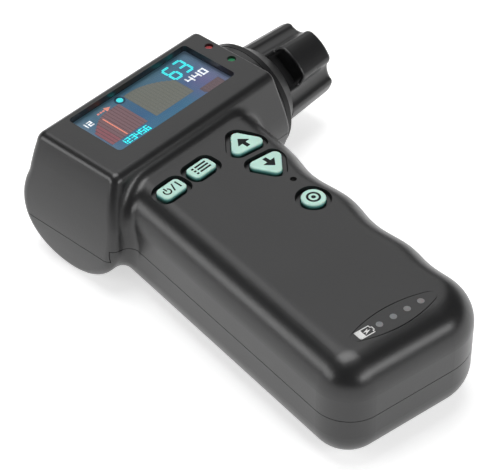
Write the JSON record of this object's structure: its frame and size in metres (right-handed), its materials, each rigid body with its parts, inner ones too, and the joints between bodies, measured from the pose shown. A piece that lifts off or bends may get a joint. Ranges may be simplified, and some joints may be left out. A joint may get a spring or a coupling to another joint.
{
  "type": "handheld string tuner",
  "caption": "Hand-held motor-driven string tuner: pistol-like grip, head with display and keys, and a rotating slotted socket that turns a tuning peg.",
  "frame": {"origin": "on the surface the tuner lies on, straight under the drive axis", "axes": "+X along the drive axis towards the peg socket, grip towards -Y, +Z out of the display"},
  "size_m": [0.109, 0.1352, 0.0375],
  "materials": {
    "front_shell": "fine satin moulding grain",
    "back_shell": "fine satin moulding grain",
    "nose_collar": "satin",
    "display_window": "clear, polished",
    "red_status_led": "tinted clear epoxy",
    "green_status_led": "tinted clear epoxy",
    "charge_lens": "smoked, polished",
    "case_screws": "plated steel",
    "nose_bush": "plain brass",
    "lcd_panel": "lit colour display",
    "lcd_backlight": "milky white",
    "display_board": "green solder mask",
    "usb_socket": "plated steel",
    "pickup_disc": "plain brass",
    "main_board": "green solder mask",
    "board_screws": "plated steel",
    "key_switches": "black moulded",
    "reset_switch": "black moulded",
    "charge_leds": "diffuse",
    "charge_light_pipes": "frosted",
    "battery_cell": "heat-shrink sleeve",
    "battery_foam": "closed-cell foam",
    "gearbox_housing": "natural white acetal",
    "motor_can": "plated steel",
    "motor_end_cap": "black moulded",
    "motor_magnets": "ferrite",
    "gearbox_cover": "natural white acetal",
    "gearbox_bracket": "plated steel",
    "motor_screws": "plated steel",
    "output_carrier": "sintered steel",
    "output_shaft": "plated steel",
    "peg_socket": "satin",
    "peg_pads": "soft rubber",
    "socket_screw": "plated steel",
    "first_carrier": "natural acetal",
    "motor_shaft": "plated steel",
    "motor_armature": "sintered steel",
    "motor_pinion": "plain brass",
    "first_planet_1": "natural acetal",
    "first_planet_2": "natural acetal",
    "first_planet_3": "natural acetal",
    "second_planet_1": "natural acetal",
    "second_planet_2": "natural acetal",
    "second_planet_3": "natural acetal",
    "power_key": "pale green, fine grain",
    "power_plunger": "natural white",
    "mode_key": "pale green, fine grain",
    "mode_plunger": "natural white",
    "up_key": "pale green, fine grain",
    "up_plunger": "natural white",
    "down_key": "pale green, fine grain",
    "down_plunger": "natural white",
    "set_key": "pale green, fine grain",
    "set_plunger": "natural white",
    "reset_plunger": "natural white"
  },
  "bodies": {
    "case": {"front_shell": "front_shell", "back_shell": "back_shell", "nose_collar": "nose_collar", "display_window": "display_window", "red_status_led": "red_status_led", "green_status_led": "green_status_led", "charge_lens": "charge_lens", "case_screws": "case_screws", "nose_bush": "nose_bush", "lcd_panel": "lcd_panel", "lcd_backlight": "lcd_backlight", "display_board": "display_board", "usb_socket": "usb_socket", "pickup_disc": "pickup_disc", "main_board": "main_board", "board_screws": "board_screws", "key_switches": "key_switches", "reset_switch": "reset_switch", "charge_leds": "charge_leds", "charge_light_pipes": "charge_light_pipes", "battery_cell": "battery_cell", "battery_foam": "battery_foam", "gearbox_housing": "gearbox_housing", "motor_can": "motor_can", "motor_end_cap": "motor_end_cap", "motor_magnets": "motor_magnets", "gearbox_cover": "gearbox_cover", "gearbox_bracket": "gearbox_bracket", "motor_screws": "motor_screws"},
    "output": {"output_carrier": "output_carrier", "output_shaft": "output_shaft", "peg_socket": "peg_socket", "peg_pads": "peg_pads", "socket_screw": "socket_screw"},
    "first_stage": {"first_carrier": "first_carrier"},
    "rotor": {"motor_shaft": "motor_shaft", "motor_armature": "motor_armature", "motor_pinion": "motor_pinion"},
    "first_planet_1_body": {"first_planet_1": "first_planet_1"},
    "first_planet_2_body": {"first_planet_2": "first_planet_2"},
    "first_planet_3_body": {"first_planet_3": "first_planet_3"},
    "second_planet_1_body": {"second_planet_1": "second_planet_1"},
    "second_planet_2_body": {"second_planet_2": "second_planet_2"},
    "second_planet_3_body": {"second_planet_3": "second_planet_3"},
    "power_button": {"power_key": "power_key", "power_plunger": "power_plunger"},
    "mode_button": {"mode_key": "mode_key", "mode_plunger": "mode_plunger"},
    "up_button": {"up_key": "up_key", "up_plunger": "up_plunger"},
    "down_button": {"down_key": "down_key", "down_plunger": "down_plunger"},
    "set_button": {"set_key": "set_key", "set_plunger": "set_plunger"},
    "reset_button": {"reset_plunger": "reset_plunger"}
  },
  "joints": [
    {"name": "rotor_spin", "type": "hinge", "parent": "case", "child": "rotor", "pos_m": [-0.01, 0, 0.0186], "axis": [1, 0, 0], "continuous": true},
    {"name": "first_stage_spin", "type": "hinge", "parent": "case", "child": "first_stage", "pos_m": [0.0112, 0, 0.0186], "axis": [1, 0, 0], "continuous": true},
    {"name": "socket_spin", "type": "hinge", "parent": "case", "child": "output", "pos_m": [0.0452, 0, 0.0186], "axis": [1, 0, 0], "continuous": true},
    {"name": "first_planet_1_spin", "type": "hinge", "parent": "first_stage", "child": "first_planet_1_body", "pos_m": [0.0066, 0, 0.0126], "axis": [1, 0, 0], "continuous": true},
    {"name": "first_planet_2_spin", "type": "hinge", "parent": "first_stage", "child": "first_planet_2_body", "pos_m": [0.0066, 0.0052, 0.0216], "axis": [1, 0, 0], "continuous": true},
    {"name": "first_planet_3_spin", "type": "hinge", "parent": "first_stage", "child": "first_planet_3_body", "pos_m": [0.0066, -0.0052, 0.0216], "axis": [1, 0, 0], "continuous": true},
    {"name": "second_planet_1_spin", "type": "hinge", "parent": "output", "child": "second_planet_1_body", "pos_m": [0.0134, 0, 0.0126], "axis": [1, 0, 0], "continuous": true},
    {"name": "second_planet_2_spin", "type": "hinge", "parent": "output", "child": "second_planet_2_body", "pos_m": [0.0134, 0.0052, 0.0216], "axis": [1, 0, 0], "continuous": true},
    {"name": "second_planet_3_spin", "type": "hinge", "parent": "output", "child": "second_planet_3_body", "pos_m": [0.0134, -0.0052, 0.0216], "axis": [1, 0, 0], "continuous": true},
    {"name": "power_press", "type": "slide", "parent": "case", "child": "power_button", "axis": [0, 0, -1], "range_m": [0, 0.0006], "stiffness_N_per_m": 900, "springref_m": -0.0003},
    {"name": "mode_press", "type": "slide", "parent": "case", "child": "mode_button", "axis": [0, 0, -1], "range_m": [0, 0.0006], "stiffness_N_per_m": 900, "springref_m": -0.0003},
    {"name": "up_press", "type": "slide", "parent": "case", "child": "up_button", "axis": [0, 0, -1], "range_m": [0, 0.0006], "stiffness_N_per_m": 900, "springref_m": -0.0003},
    {"name": "down_press", "type": "slide", "parent": "case", "child": "down_button", "axis": [0, 0, -1], "range_m": [0, 0.0006], "stiffness_N_per_m": 900, "springref_m": -0.0003},
    {"name": "set_press", "type": "slide", "parent": "case", "child": "set_button", "axis": [0, 0, -1], "range_m": [0, 0.0006], "stiffness_N_per_m": 900, "springref_m": -0.0003},
    {"name": "reset_press", "type": "slide", "parent": "case", "child": "reset_button", "axis": [0, 0, -1], "range_m": [0, 0.0006], "stiffness_N_per_m": 900, "springref_m": -0.0003}
  ],
  "couplings": [
    {"joint": "first_stage_spin", "follows": "rotor_spin", "ratio": 0.2},
    {"joint": "socket_spin", "follows": "rotor_spin", "ratio": 0.04},
    {"joint": "first_planet_1_spin", "follows": "rotor_spin", "ratio": -0.53333},
    {"joint": "first_planet_2_spin", "follows": "rotor_spin", "ratio": -0.53333},
    {"joint": "first_planet_3_spin", "follows": "rotor_spin", "ratio": -0.53333},
    {"joint": "second_planet_1_spin", "follows": "rotor_spin", "ratio": -0.10667},
    {"joint": "second_planet_2_spin", "follows": "rotor_spin", "ratio": -0.10667},
    {"joint": "second_planet_3_spin", "follows": "rotor_spin", "ratio": -0.10667}
  ]
}
